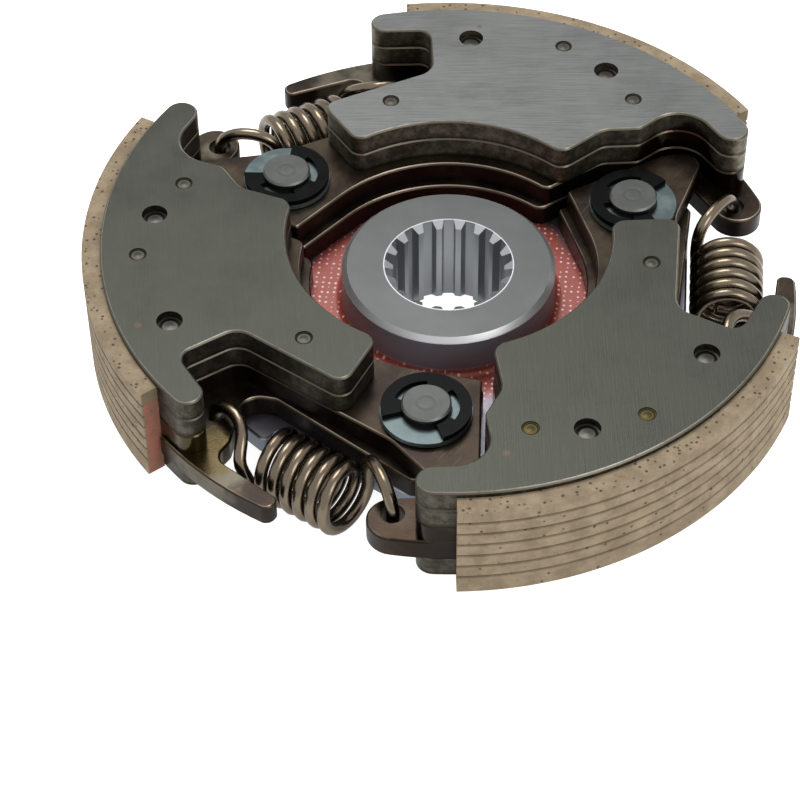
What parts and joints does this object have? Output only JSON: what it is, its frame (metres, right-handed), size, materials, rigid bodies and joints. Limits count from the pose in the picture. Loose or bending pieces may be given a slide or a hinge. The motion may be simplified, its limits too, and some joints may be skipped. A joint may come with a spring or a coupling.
{
  "type": "centrifugal clutch",
  "caption": "Centrifugal clutch rotor: laminated steel shoes with friction linings pivot on a splined carrier and are held in by hook springs until speed throws them out.",
  "frame": {"origin": "on the turning axis, at the lower face of the splined hub", "axes": "+Z along the turning axis towards the shoes' top plates; -Y passes through the first shoe's pivot pin"},
  "size_m": [0.1353, 0.1375, 0.0289],
  "materials": {
    "carrier_steel": "turned steel, heat-tinted, with a worn red coating near the hub",
    "plate_steel": "satin ground face, dark oily stamped sides",
    "arm_plate_steel": "oil-browned steel with bright worn edges",
    "friction_lining": "matt moulded friction material, speckled",
    "rivet_steel": "dull cut steel",
    "spring_steel": "drawn wire, dark and slightly oily",
    "pin_steel": "ground steel",
    "washer_zinc": "zinc-plated, pale blue-green tint",
    "clip_black": "oil-blackened spring steel"
  },
  "bodies": {
    "carrier": {"carrier": "carrier_steel", "pivot_pin_1": "pin_steel", "washer_1": "washer_zinc", "retaining_clip_1": "clip_black", "pivot_pin_2": "pin_steel", "washer_2": "washer_zinc", "retaining_clip_2": "clip_black", "pivot_pin_3": "pin_steel", "washer_3": "washer_zinc", "retaining_clip_3": "clip_black"},
    "shoe_1": {"top_plate_1": "plate_steel", "second_plate_1": "plate_steel", "upper_arm_plate_1": "arm_plate_steel", "lower_arm_plate_1": "arm_plate_steel", "bottom_plate_1": "plate_steel", "lining_1": "friction_lining", "rivets_1": "rivet_steel", "dowels_1": "rivet_steel", "spring_1": "spring_steel"},
    "shoe_2": {"top_plate_2": "plate_steel", "second_plate_2": "plate_steel", "upper_arm_plate_2": "arm_plate_steel", "lower_arm_plate_2": "arm_plate_steel", "bottom_plate_2": "plate_steel", "lining_2": "friction_lining", "rivets_2": "rivet_steel", "dowels_2": "rivet_steel", "spring_2": "spring_steel"},
    "shoe_3": {"top_plate_3": "plate_steel", "second_plate_3": "plate_steel", "upper_arm_plate_3": "arm_plate_steel", "lower_arm_plate_3": "arm_plate_steel", "bottom_plate_3": "plate_steel", "lining_3": "friction_lining", "rivets_3": "rivet_steel", "dowels_3": "rivet_steel", "spring_3": "spring_steel"}
  },
  "joints": [
    {"name": "shoe_1_swing", "type": "hinge", "parent": "carrier", "child": "shoe_1", "pos_m": [0, -0.0391, 0.0158], "axis": [0, 0, 1], "range_deg": [0, 3], "stiffness_Nm_per_rad": 12, "springref_deg": -5.73, "deforming": ["spring_1"]},
    {"name": "shoe_2_swing", "type": "hinge", "parent": "carrier", "child": "shoe_2", "pos_m": [0.03386, 0.01955, 0.0158], "axis": [0, 0, 1], "range_deg": [0, 3], "stiffness_Nm_per_rad": 12, "springref_deg": -5.73, "deforming": ["spring_2"]},
    {"name": "shoe_3_swing", "type": "hinge", "parent": "carrier", "child": "shoe_3", "pos_m": [-0.03386, 0.01955, 0.0158], "axis": [0, 0, 1], "range_deg": [0, 3], "stiffness_Nm_per_rad": 12, "springref_deg": -5.73, "deforming": ["spring_3"]}
  ]
}
